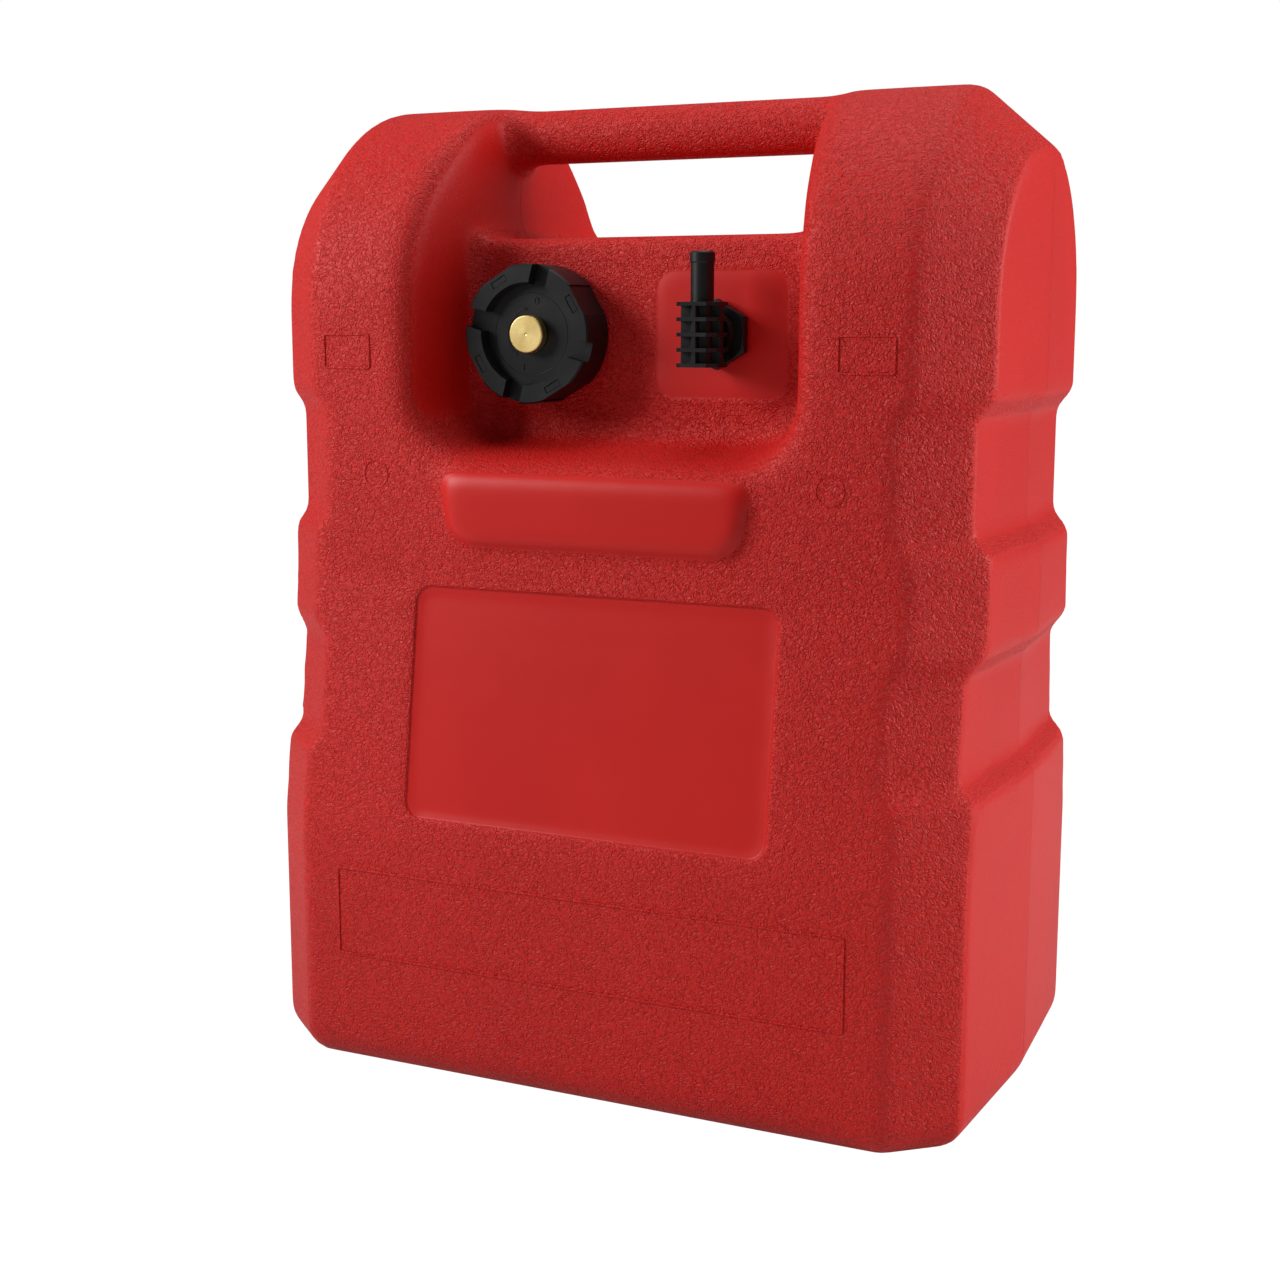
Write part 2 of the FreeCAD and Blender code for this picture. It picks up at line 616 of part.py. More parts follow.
def gland_nut():
    """Six-sided gland that screws into the wall and carries the outlet's stem."""
    crown = revolved([(0, HEX_BASE), (HEX_FLATS * 0.6, HEX_BASE), (HEX_FLATS * 0.6, HEX_TOP - 1.6),
                      (HEX_FLATS / 2 - 0.3, HEX_TOP), (0, HEX_TOP)])
    gland = hexagon(HEX_FLATS, HEX_BASE, HEX_TOP).common(crown)
    gland = gland.fuse(disc(SPIGOT_RADIUS, -SPIGOT_LENGTH, HEX_BASE))
    return outward(gland.cut(disc(STEM_RADIUS + FIT / 2, -SPIGOT_LENGTH - 1, HEX_TOP + 1)).removeSplitter(), OUTLET_X)


def gland_washer():
    """Rubber washer under the gland."""
    return outward(ring(HEX_FLATS / 2 - 0.6, SPIGOT_RADIUS + FIT, PAD_PROUD, HEX_BASE), OUTLET_X)


def chamfered_plate(size, chamfer, depth):
    """Square plate with cut corners, lying across the hose tail, depth thick."""
    half = size / 2
    points = [V(-half + chamfer, 0, -half), V(half - chamfer, 0, -half), V(half, 0, -half + chamfer),
              V(half, 0, half - chamfer), V(half - chamfer, 0, half), V(-half + chamfer, 0, half),
              V(-half, 0, half - chamfer), V(-half, 0, -half + chamfer)]
    return Part.Face(Part.makePolygon(points + points[:1])).extrude(V(0, depth, 0))


def outlet_block():
    """Ribbed block of the outlet: a round column, crossed ribs and evenly stacked plates."""
    tall = BLOCK_HALF_HEIGHT * 2
    column = Part.makeCylinder(COLUMN_RADIUS, tall, V(0, -BLOCK_HALF_HEIGHT, BLOCK_CENTRE), V(0, 1, 0))
    reach = BLOCK_SIZE - 2 * FIT
    pieces = [Part.makeBox(reach, tall, RIB * 2, V(-reach / 2, -BLOCK_HALF_HEIGHT, BLOCK_CENTRE - RIB)),
              Part.makeBox(RIB, tall, reach, V(-RIB / 2, -BLOCK_HALF_HEIGHT, BLOCK_CENTRE - reach / 2))]
    pitch = (tall - PLATE) / (PLATE_COUNT - 1)
    for index in range(PLATE_COUNT):
        plate = chamfered_plate(BLOCK_SIZE, BLOCK_CHAMFER, PLATE)
        plate.translate(V(0, -BLOCK_HALF_HEIGHT + index * pitch, BLOCK_CENTRE))
        pieces.append(plate)
    return column.fuse(pieces)


def hose_tail():
    """Upright hose tail with a bead at its tip, about the axis of the block."""
    bead_base = TAIL_TOP - TAIL_BEAD_LENGTH
    tail = revolved([(0, 0), (TAIL_RADIUS, 0), (TAIL_RADIUS, bead_base), (TAIL_RADIUS + TAIL_BEAD, bead_base + 0.6),
                     (TAIL_RADIUS + TAIL_BEAD, TAIL_TOP - 0.8), (TAIL_RADIUS - 0.4, TAIL_TOP), (0, TAIL_TOP)])
    tail.rotate(V(0, 0, 0), V(1, 0, 0), -90)
    tail.translate(V(0, 0, BLOCK_CENTRE))
    return tail


def outlet_elbow():
    """Outlet elbow: stem through the gland, collar, ribbed block and hose tail, with one bore."""
    groove = STEM_RADIUS - STEM_RING
    stem = disc(STEM_RADIUS, STEM_END, COLLAR_BASE + 1)
    for reach in stem_ring_reaches():
        stem = stem.cut(ring(STEM_RADIUS + 1, groove, reach - STEM_RING, reach + STEM_RING))
    clip_low = -SPIGOT_LENGTH - FIT - CLIP_THICKNESS
    stem = stem.cut(ring(STEM_RADIUS + 1, STEM_RADIUS - 1, clip_low, clip_low + CLIP_THICKNESS))
    collar = disc(COLLAR_RADIUS, COLLAR_BASE, BLOCK_CENTRE - BLOCK_SIZE / 2 + PLATE)
    elbow = stem.fuse([collar, disc(COLUMN_RADIUS, COLLAR_BASE, BLOCK_CENTRE), outlet_block(), hose_tail()])
    along = disc(BORE_RADIUS, STEM_END - 1, BLOCK_CENTRE)
    up = Part.makeCylinder(BORE_RADIUS, TAIL_TOP + 1, V(0, 0, BLOCK_CENTRE), V(0, 1, 0))
    return outward(elbow.cut(along.fuse(up)).removeSplitter(), OUTLET_X)


def stem_ring_reaches():
    """Reach of the middle of each sealing ring on the outlet's stem."""
    return (-4.0, -12.0)


def stem_rings():
    """Two sealing rings on the stem of the outlet."""
    section = (STEM_RING + FIT / 2) / 2 - 0.01
    rings = [o_ring(STEM_RADIUS - STEM_RING, section, reach) for reach in stem_ring_reaches()]
    return outward(Part.makeCompound(rings), OUTLET_X)


def stem_clip():
    """Open spring clip that keeps the stem in the gland."""
    low = -SPIGOT_LENGTH - FIT - CLIP_THICKNESS
    clip = ring(STEM_RADIUS + 1.6, STEM_RADIUS - 1, low, low + CLIP_THICKNESS)
    return outward(clip.cut(centred_box(5, 12, low - 1, low + 2, 0, 6)), OUTLET_X)


def pickup_elbow():
    """Cup pushed on the inner end of the gland, with a barb that points down."""
    body = disc(ELBOW_RADIUS, ELBOW_END - PICKUP_WALL, -BOSS_DEPTH - FIT)
    down = ELBOW_RADIUS + BARB_LENGTH
    barb = Part.makeCylinder(TUBE_BORE, down, V(0, 0, TUBE_REACH), V(0, -1, 0))
    body = body.fuse(barb).cut(disc(SPIGOT_RADIUS, ELBOW_END, 0))
    bore = Part.makeCylinder(BORE_RADIUS, down + 1, V(0, 0, TUBE_REACH), V(0, -1, 0))
    return outward(body.cut(bore), OUTLET_X)


def upright(shape):
    """Move a shape built about the Z axis to the axis of the pickup tube."""
    shape.translate(V(OUTLET_X, TUBE_Y, 0))
    return shape


def pickup_tube():
    """Fuel tube from the inner elbow down to the strainer."""
    return upright(ring(TUBE_RADIUS, TUBE_BORE, TUBE_END, TUBE_TOP))


def hose_clip(z):
    """Band clip with a pinched ear round the pickup tube."""
    band = ring(TUBE_RADIUS + CLIP_WALL, TUBE_RADIUS, z, z + CLIP_WIDTH)
    ear = centred_box(CLIP_EAR, CLIP_EAR, z + 1, z + CLIP_WIDTH - 1, 0, TUBE_RADIUS + CLIP_EAR / 2 + 0.3)
    return band.fuse(ear).removeSplitter()


def tube_clips():
    """Clips at the two ends of the pickup tube."""
    clips = [hose_clip(TUBE_END + 3), hose_clip(TUBE_TOP - CLIP_WIDTH - 3)]
    return upright(Part.makeCompound(clips))


def strainer_cage():
    """Open cage of the strainer with a barb that holds it in the tube."""
    top = STRAINER_BASE + STRAINER_HEIGHT
    plate = 2.0
    inner = STRAINER_RADIUS - 1.8
    cage = ring(TUBE_BORE, BORE_RADIUS, top - plate, TUBE_END + 14)
    cage = cage.fuse([ring(STRAINER_RADIUS, BORE_RADIUS, top - plate, top),
                      disc(STRAINER_RADIUS, STRAINER_BASE, STRAINER_BASE + plate)])
    bars = []
    for index in range(STRAINER_RIBS):
        bar = centred_box(2.4, 1.8, STRAINER_BASE, top, 0, STRAINER_RADIUS - 1.1)
        bar.rotate(V(0, 0, 0), V(0, 0, 1), 360 * index / STRAINER_RIBS)
        bars.append(bar.common(ring(STRAINER_RADIUS, inner, STRAINER_BASE, top)))
    return upright(cage.fuse(bars).removeSplitter())


def strainer_mesh():
    """Fine mesh sleeve inside the cage."""
    plate = 2.0
    outer = STRAINER_RADIUS - 1.8
    return upright(ring(outer, outer - MESH_WALL, STRAINER_BASE + plate, STRAINER_BASE + STRAINER_HEIGHT - plate))


PARTS = {
    "tank_shell": tank_shell,
    "gland_nut": gland_nut,
    "gland_washer": gland_washer,
    "pickup_elbow": pickup_elbow,
    "pickup_tube": pickup_tube,
    "tube_clips": tube_clips,
    "strainer_cage": strainer_cage,
    "strainer_mesh": strainer_mesh,
    "outlet_elbow": outlet_elbow,
    "stem_rings": stem_rings,
    "stem_clip": stem_clip,
    "cap_gasket": cap_gasket,
    "cap_cover": cap_cover,
    "cap_core": cap_core,
    "vent_bush": vent_bush,
    "vent_seat": vent_seat,
    "vent_seal": vent_seal,
    "vent_screw": vent_screw,
    "vent_ring": vent_ring,
}

os.makedirs("parts", exist_ok=True)
for name, build in PARTS.items():
    shape = build()
    box = shape.BoundBox
    print(name, "valid", shape.isValid(), "solids", len(shape.Solids), "volume", round(shape.Volume),
          [round(v, 2) for v in (box.XMin, box.YMin, box.ZMin, box.XMax, box.YMax, box.ZMax)])
    shape.exportStep("parts/" + name + ".step")
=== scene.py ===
"""Looks of an upright red fuel tank: its moulded skin, its screw cap, its hose outlet and the studio."""

import json
import logging
import math
from dataclasses import dataclass, field
from enum import Enum
from typing import Callable, Optional, Union

import bpy
from mathutils import Euler, Matrix, Vector

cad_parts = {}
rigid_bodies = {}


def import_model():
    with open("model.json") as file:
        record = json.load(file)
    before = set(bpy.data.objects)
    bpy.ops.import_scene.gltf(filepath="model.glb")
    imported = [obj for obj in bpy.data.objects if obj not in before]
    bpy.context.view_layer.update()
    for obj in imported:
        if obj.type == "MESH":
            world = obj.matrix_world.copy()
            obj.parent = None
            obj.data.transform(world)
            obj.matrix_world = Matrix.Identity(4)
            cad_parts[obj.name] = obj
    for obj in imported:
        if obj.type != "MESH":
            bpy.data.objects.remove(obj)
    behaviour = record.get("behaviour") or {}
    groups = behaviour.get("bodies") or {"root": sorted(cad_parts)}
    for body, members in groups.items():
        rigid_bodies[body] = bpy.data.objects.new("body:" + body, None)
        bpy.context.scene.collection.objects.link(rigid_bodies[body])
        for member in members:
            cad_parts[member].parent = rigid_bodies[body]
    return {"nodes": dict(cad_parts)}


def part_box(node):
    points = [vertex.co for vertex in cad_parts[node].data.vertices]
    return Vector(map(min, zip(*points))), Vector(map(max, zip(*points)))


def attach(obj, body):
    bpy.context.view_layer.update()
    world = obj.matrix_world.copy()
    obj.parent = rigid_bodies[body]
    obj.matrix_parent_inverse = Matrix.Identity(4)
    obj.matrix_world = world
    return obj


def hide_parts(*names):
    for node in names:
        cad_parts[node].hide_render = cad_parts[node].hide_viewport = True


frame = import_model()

LOG = logging.getLogger("fuel_tank")
MM = 0.001
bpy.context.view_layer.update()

BEVEL_EDGE = math.radians(32)
SMOOTH_EDGE = math.radians(35)
FLAT_EDGE = math.radians(1.0)
FIN_EDGE = 1.0
MERGE_DISTANCE = 0.00002

Value = Union[float, "Sock"]
Pair = tuple[float, float]
Triple = tuple[float, float, float]
Rgba = tuple[float, float, float, float]


class Body(Enum):
    """The bodies that the pieces of the scene ride on."""

    TANK = "tank"
    OUTLET = "outlet"
    CAP = "cap"
    VENT = "vent"


class Sock:
    """A shader socket or number that takes part in arithmetic; each operator adds a Math node."""

    def __init__(self, tree: "ShaderTree", link: object) -> None:
        """Wrap an output socket of one tree."""
        self.tree = tree
        self.link = link

    def _math(self, operation: str, *others: Value) -> "Sock":
        """Add one Math node with this socket as its first value."""
        return self.tree.math(operation, self, *others)

    def __add__(self, other: Value) -> "Sock":
        """Sum."""
        return self._math("ADD", other)

    __radd__ = __add__

    def __sub__(self, other: Value) -> "Sock":
        """Difference."""
        return self._math("SUBTRACT", other)

    def __rsub__(self, other: Value) -> "Sock":
        """Difference with the number first."""
        return self.tree.math("SUBTRACT", other, self)

    def __mul__(self, other: Value) -> "Sock":
        """Product."""
        return self._math("MULTIPLY", other)

    __rmul__ = __mul__

    def __abs__(self) -> "Sock":
        """Size without sign."""
        return self._math("ABSOLUTE")

    def above(self, limit: Value) -> "Sock":
        """1 where the value is over the limit."""
        return self._math("GREATER_THAN", limit)

    def below(self, limit: Value) -> "Sock":
        """1 where the value is under the limit."""
        return self._math("LESS_THAN", limit)

    def at_least(self, limit: Value) -> "Sock":
        """The larger of two values."""
        return self._math("MAXIMUM", limit)

    def root(self) -> "Sock":
        """Square root."""
        return self._math("SQRT")

    def smooth(self, low: float, high: float) -> "Sock":
        """0 at low and 1 at high, with a soft step between."""
        return self.tree.node("ShaderNodeMapRange", {"interpolation_type": "SMOOTHSTEP"},
                              {"Value": self, "From Min": low, "From Max": high})


class ShaderTree:
    """Node tree of one material, written as expressions."""

    def __init__(self, name: str) -> None:
        """Start a material with an empty node tree.

        Args:
            name: the material's name.
        """
        self.material = bpy.data.materials.new(name)
        self.material.use_nodes = True
        self.nodes = self.material.node_tree.nodes
        self.links = self.material.node_tree.links
        self.nodes.clear()

    def node(self, kind: str, settings: Optional[dict] = None, inputs: Optional[dict] = None,
             output: Union[int, str] = 0) -> Sock:
        """Add a node.

        Args:
            kind: Blender's node type.
            settings: properties that are set before the sockets.
            inputs: value or link for each named or numbered socket.
            output: the output that is returned.

        Returns:
            The chosen output as a Sock.
        """
        made = self.nodes.new(kind)
        for key, value in (settings or {}).items():
            setattr(made, key, value)
        for key, value in (inputs or {}).items():
            self._fill(made.inputs[key], value)
        return Sock(self, made.outputs[output])

    def _fill(self, socket: object, value: object) -> None:
        """Link a Sock to a socket, or set a plain value on it."""
        if isinstance(value, Sock):
            self.links.new(value.link, socket)
        else:
            socket.default_value = value

    def math(self, operation: str, *values: Value) -> Sock:
        """One Math node."""
        return self.node("ShaderNodeMath", {"operation": operation}, dict(enumerate(values)))

    def position(self) -> tuple[Sock, Sock, Sock]:
        """The three object coordinates, in metres."""
        return self.split(self.node("ShaderNodeTexCoord", output="Object"))

    def facing(self) -> tuple[Sock, Sock, Sock]:
        """The three parts of the surface normal in the object's own frame."""
        return self.split(self.node("ShaderNodeTexCoord", output="Normal"))

    def split(self, vector: Sock) -> tuple[Sock, Sock, Sock]:
        """The three parts of a vector.

        Args:
            vector: the vector's socket.

        Returns:
            Its x, y and z.
        """
        made = self.nodes.new("ShaderNodeSeparateXYZ")
        self.links.new(vector.link, made.inputs[0])
        return tuple(Sock(self, made.outputs[index]) for index in range(3))

    def stretched(self, scale: Triple) -> Sock:
        """Object coordinates multiplied along each axis."""
        return self.node("ShaderNodeMapping", None,
                         {"Vector": self.node("ShaderNodeTexCoord", output="Object"), "Scale": scale})

    def noise(self, vector: Sock, scale: float, detail: float = 2.0, distortion: float = 0.0) -> Sock:
        """Noise between about 0.2 and 0.8."""
        return self.node("ShaderNodeTexNoise", None,
                         {"Vector": vector, "Scale": scale, "Detail": detail, "Distortion": distortion})

    def mixed(self, share: Value, first: object, second: object) -> Sock:
        """Colour between two colours."""
        return self.node("ShaderNodeMix", {"data_type": "RGBA"}, {0: share, 6: first, 7: second}, 2)

    def bump(self, height: Sock, distance: float) -> Sock:
        """Surface normal that a height gives.

        Args:
            height: the height at each place.
            distance: how many metres a height of 1 stands for.

        Returns:
            The raised normal.
        """
        return self.node("ShaderNodeBump", None, {"Height": height, "Distance": distance, "Strength": 1.0})

    def surface(self, inputs: dict) -> bpy.types.Material:
        """Finish the material with a Principled shader.

        Args:
            inputs: value or link for each of the shader's sockets.

        Returns:
            The finished material.
        """
        shader = self.node("ShaderNodeBsdfPrincipled", None, inputs)
        output = self.nodes.new("ShaderNodeOutputMaterial")
        self.links.new(shader.link, output.inputs["Surface"])
        return self.material


def rounded_box_distance(across: Sock, up: Sock, centre: Pair, half: Pair, corner: float) -> Sock:
    """Distance from a place on the front to the outline of a rounded rectangle.

    Args:
        across: the sideways coordinate.
        up: the upright coordinate.
        centre: middle of the rectangle.
        half: half of its width and of its height.
        corner: radius of its corners.

    Returns:
        The distance in metres, below 0 inside the rectangle.
    """
    dx = (abs(across - centre[0]) - (half[0] - corner)).at_least(0.0)
    dz = (abs(up - centre[1]) - (half[1] - corner)).at_least(0.0)
    return (dx * dx + dz * dz).root() - corner


@dataclass(frozen=True)
class GrainedRed:
    """Red polyethylene with a moulded leather grain, smooth on the panels and the sides; the tops of the
    grain wrinkles get a painted highlight of lighter pink.
    """

    base: Rgba = (0.60, 0.0062, 0.0026, 1.0)
    deep: Rgba = (0.56, 0.0046, 0.0020, 1.0)
    # painted highlight: lighter pink that the tops of the grain wrinkles are mixed toward, standing in for
    # light catching them
    painted_grain_highlight: Rgba = (0.64, 0.0110, 0.0062, 1.0)
    roughness: float = 0.46
    grain_depth: float = 0.00048
    wave_depth: float = 0.00012
    label_step: float = 0.0006
    parting_height: float = 0.0006
    wrinkle_scale: float = 400.0
    pit_scale: float = 1000.0
    label_centre: Pair = (0.0, 0.1895)
    label_half: Pair = (0.0945, 0.0565)
    label_corner: float = 0.009
    lip_centre: Pair = (0.0, 0.285)
    lip_half: Pair = (0.0815, 0.0205)
    lip_corner: float = 0.014
    pad_centre: Pair = (0.0438, 0.3665)
    pad_half: Pair = (0.034, 0.0305)
    pad_corner: float = 0.010
    polish_edge: float = 0.0015
    front_y: float = -0.095
    lip_front_y: float = -0.1022
    recess_wall_y: float = -0.056

    def smooth_places(self, x: Sock, y: Sock, z: Sock) -> Sock:
        """Places where the mould was polished.

        Args:
            x: the sideways coordinate.
            y: the coordinate from front to back.
            z: the upright coordinate.

        Returns:
            1 on the polished places and 0 on the grained ones.
        """
        edge = self.polish_edge
        label = rounded_box_distance(x, z, self.label_centre, self.label_half, self.label_corner)
        lip = rounded_box_distance(x, z, self.lip_centre, self.lip_half, self.lip_corner)
        pad = rounded_box_distance(x, z, self.pad_centre, self.pad_half, self.pad_corner)
        front = y.below(self.front_y)
        lip_front = y.below(self.lip_front_y)
        wall = y.above(self.recess_wall_y)
        spots = (1 - label.smooth(-edge, edge)) * front
        spots = spots.at_least((1 - lip.smooth(-edge, edge)) * lip_front)
        return spots.at_least((1 - pad.smooth(-edge, edge)) * wall)

    def grain(self, tree: ShaderTree) -> Sock:
        """Height of the leather grain: short wandering wrinkles with fine pits between them.

        Args:
            tree: the material's node tree.

        Returns:
            The height, between 0 and about 1.3.
        """
        cloth = tree.stretched((1.0, 1.0, 1.35))
        wander = tree.noise(cloth, self.wrinkle_scale, 1.0, 1.1)
        ridges = (1 - abs(wander - 0.5) * 4.2).smooth(0.0, 1.0)
        fine = tree.noise(cloth, self.pit_scale, 1.0, 0.5)
        return ridges + fine * 0.3

    def material(self) -> bpy.types.Material:
        """Build the finish.

        Returns:
            The material.
        """
        tree = ShaderTree("red_grained_polyethylene")
        x, y, z = tree.position()
        nx, _, _ = tree.facing()
        polished = self.smooth_places(x, y, z)
        side = abs(nx).smooth(0.80, 0.93) * 0.82
        rough = 1 - polished.at_least(side)
        grain = self.grain(tree) * rough
        soft_waves = tree.noise(tree.stretched((1.0, 1.0, 1.0)), 60.0, 1.0)
        label = rounded_box_distance(x, z, self.label_centre, self.label_half, self.label_corner)
        step = label.smooth(-0.0012, 0.0006) * y.below(self.front_y)
        parting = (1 - abs(y).smooth(0.0002, 0.0007)) * abs(nx).smooth(0.6, 0.75)
        height = grain * self.grain_depth + soft_waves * self.wave_depth
        height = height + step * self.label_step + parting * self.parting_height
        drift = tree.noise(tree.stretched((1.0, 1.0, 0.6)), 9.0, 3.0)
        tone = tree.mixed(drift.smooth(0.35, 0.65), self.deep, self.base)
        # painted highlight: the grain wrinkle tops are mixed toward a lighter pink, as if light caught them
        tone = tree.mixed(grain.smooth(0.55, 1.25) * 0.22, tone, self.painted_grain_highlight)
        gloss = self.roughness + rough * 0.05 + (drift - 0.5) * 0.06
        return tree.surface({"Base Color": tone, "Roughness": gloss, "Specular IOR Level": 0.34,
                             "Normal": tree.bump(height, 1.0)})


@dataclass(frozen=True)
class SatinBlack:
    """Black moulded plastic with a faint spark-eroded texture and slightly paler patches."""

    name: str
    base: Rgba = (0.0075, 0.0075, 0.0085, 1.0)
    worn: Rgba = (0.016, 0.016, 0.017, 1.0)
    roughness: float = 0.40
    texture_scale: float = 1900.0
    texture_depth: float = 0.00004

    def material(self) -> bpy.types.Material:
        """Build the finish.

        Returns:
            The material.
        """
        tree = ShaderTree(self.name)
        where = tree.stretched((1.0, 1.0, 1.0))
        speckle = tree.noise(where, self.texture_scale, 2.0)
        drift = tree.noise(where, 70.0, 3.0)
        tone = tree.mixed(drift.smooth(0.45, 0.75) * 0.5, self.base, self.worn)
        return tree.surface({"Base Color": tone, "Roughness": self.roughness + (drift - 0.5) * 0.16,
                             "Specular IOR Level": 0.28, "Normal": tree.bump(speckle, self.texture_depth)})


@dataclass(frozen=True)
class TurnedBrass:
    """Brass with the fine rings of a lathe tool round the axis of the cap, slight tarnish, and a painted
    sheen: lighter and darker sectors round the axis painted into its colour.
    """

    axis: Pair
    # the brass's own colour, which also serves as the painted highlight of the lit sectors of the sheen
    brass_and_painted_highlight: Rgba = (0.90, 0.70, 0.30, 1.0)
    # darker brass for real tarnish patches and for the painted shade of the dim sectors of the sheen
    tarnish_and_painted_shade: Rgba = (0.62, 0.42, 0.14, 1.0)
    rings_per_metre: float = 21000.0
    ring_depth: float = 0.000002
    centre_depth: float = 0.0003

    def material(self) -> bpy.types.Material:
        """Build the finish.

        Returns:
            The material.
        """
        tree = ShaderTree("turned_brass")
        x, _, z = tree.position()
        dx = x - self.axis[0]
        dz = z - self.axis[1]
        radius = (dx * dx + dz * dz).root()
        rings = tree.math("SINE", radius * self.rings_per_metre)
        around = tree.math("ARCTAN2", dz, dx)
        # painted sheen: lighter and darker sectors turning twice round the axis, painted into the colour
        # for the reflection of turned brass
        painted_sheen = tree.math("COSINE", around * 2.0 - 1.9) * 0.5 + 0.5
        spread = tree.noise(tree.stretched((1.0, 1.0, 1.0)), 300.0, 3.0)
        # colour mixes the painted sheen with real tarnish patches from the noise
        tone = tree.mixed(painted_sheen * 0.5 + spread.smooth(0.45, 0.72) * 0.3, self.brass_and_painted_highlight, self.tarnish_and_painted_shade)
        dot = 1 - radius.smooth(0.0003, 0.0008)
        height = rings * self.ring_depth - dot * self.centre_depth
        return tree.surface({"Base Color": tone, "Metallic": 1.0, "Roughness": 0.36 + spread * 0.12,
                             "Normal": tree.bump(height, 1.0)})


@dataclass(frozen=True)
class PlainFinish:
    """Rubber, steel or natural plastic for the pieces that show little."""

    name: str
    base: Rgba
    roughness: float
    metallic: float = 0.0
    scale: float = 700.0
    darkening: float = 0.78
    texture_depth: float = 0.00005

    def material(self) -> bpy.types.Material:
        """Build the finish.

        Returns:
            The material.
        """
        tree = ShaderTree(self.name)
        cloud = tree.noise(tree.stretched((1.0, 1.0, 1.0)), self.scale, 2.0)
        darker = tuple(channel * self.darkening for channel in self.base[:3]) + (1.0,)
        tone = tree.mixed(cloud.smooth(0.35, 0.65), darker, self.base)
        return tree.surface({"Base Color": tone, "Metallic": self.metallic,
                             "Roughness": self.roughness + (cloud - 0.5) * 0.2,
                             "Normal": tree.bump(cloud, self.texture_depth)})


@dataclass(frozen=True)
class WovenWire:
    """Fine square wire mesh of the strainer, with its openings painted dark grey as painted shade."""

    pitch: float = 0.0009
    # painted shade: dark grey put in the openings of the mesh, where only shade is seen through
    painted_shade_openings: Rgba = (0.10, 0.10, 0.10, 1.0)
    wire: Rgba = (0.62, 0.62, 0.60, 1.0)
    wire_depth: float = 0.0001

    def material(self) -> bpy.types.Material:
        """Build the finish.

        Returns:
            The material.
        """
        tree = ShaderTree("woven_wire")
        x, y, z = tree.position()
        turns = tree.math("SINE", (x + y) * (math.tau / self.pitch))
        rows = tree.math("SINE", z * (math.tau / self.pitch))
        weave = abs(turns).at_least(abs(rows))
        # the openings get the painted shade colour, the wires their steel colour
        tone = tree.mixed(weave, self.painted_shade_openings, self.wire)
        return tree.surface({"Base Color": tone, "Metallic": 1.0, "Roughness": 0.35,
                             "Normal": tree.bump(weave, self.wire_depth)})


def deselect() -> None:
    """Leave nothing selected."""
    bpy.ops.object.select_all(action="DESELECT")


def activate(piece: bpy.types.Object) -> None:
    """Make one object the only selected and active one.

    Args:
        piece: the object.
    """
    deselect()
    piece.select_set(True)
    bpy.context.view_layer.objects.active = piece


def settle(piece: bpy.types.Object) -> bpy.types.Object:
    """Put an object's place, turn and size into its mesh.

    Args:
        piece: the object.

    Returns:
        The same object.
    """
    activate(piece)
    bpy.ops.object.transform_apply(location=True, rotation=True, scale=True)
    return piece


def finished(piece: bpy.types.Object, body: Body,
             material: bpy.types.Material) -> bpy.types.Object:
    """Give a piece its material, slot and body.

    Args:
        piece: the finished mesh object.
        body: the body that it rides on.
        material: its finish.

    Returns:
        The same object.
    """
    piece.data.materials.clear()
    piece.data.materials.append(material)
    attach(piece, body.value)
    LOG.info("%s: %d faces on %s", piece.name, len(piece.data.polygons), body.value)
    return piece


def apply_modifier(piece: bpy.types.Object, kind: str, **settings: object) -> None:
    """Add one modifier and apply it.

    Args:
        piece: the mesh object.
        kind: Blender's modifier type.
        settings: the modifier's properties.
    """
    activate(piece)
    modifier = piece.modifiers.new(kind.lower(), kind)
    for key, value in settings.items():
        setattr(modifier, key, value)
    bpy.ops.object.modifier_apply(modifier=modifier.name)


def merged_copy(node: str, name: str) -> bpy.types.Object:
    """Copy a CAD node's mesh and merge its doubled corners.

    Args:
        node: the CAD node, whose own mesh stays as it is.
        name: name of the copy.

    Returns:
        The copy.
    """
    piece = bpy.data.objects.new(name, frame["nodes"][node].data.copy())
    bpy.context.scene.collection.objects.link(piece)
    activate(piece)
    bpy.ops.object.mode_set(mode="EDIT")
    bpy.ops.mesh.select_all(action="SELECT")
    bpy.ops.mesh.remove_doubles(threshold=MERGE_DISTANCE)
    bpy.ops.object.mode_set(mode="OBJECT")
    return piece


def select_vertices(piece: bpy.types.Object, test: Callable[[Vector], bool]) -> int:
    """Select the vertices that pass a test, in edit mode, and leave edit mode on.

    Args:
        piece: the mesh object.
        test: says for a place whether its vertex is chosen.

    Returns:
        How many vertices are selected.
    """
    activate(piece)
    bpy.ops.object.mode_set(mode="EDIT")
    bpy.ops.mesh.select_mode(type="VERT")
    bpy.ops.mesh.select_all(action="DESELECT")
    bpy.ops.object.mode_set(mode="OBJECT")
    count = 0
    for vertex in piece.data.vertices:
        vertex.select = test(vertex.co)
        count += vertex.select
    bpy.ops.object.mode_set(mode="EDIT")
    return count


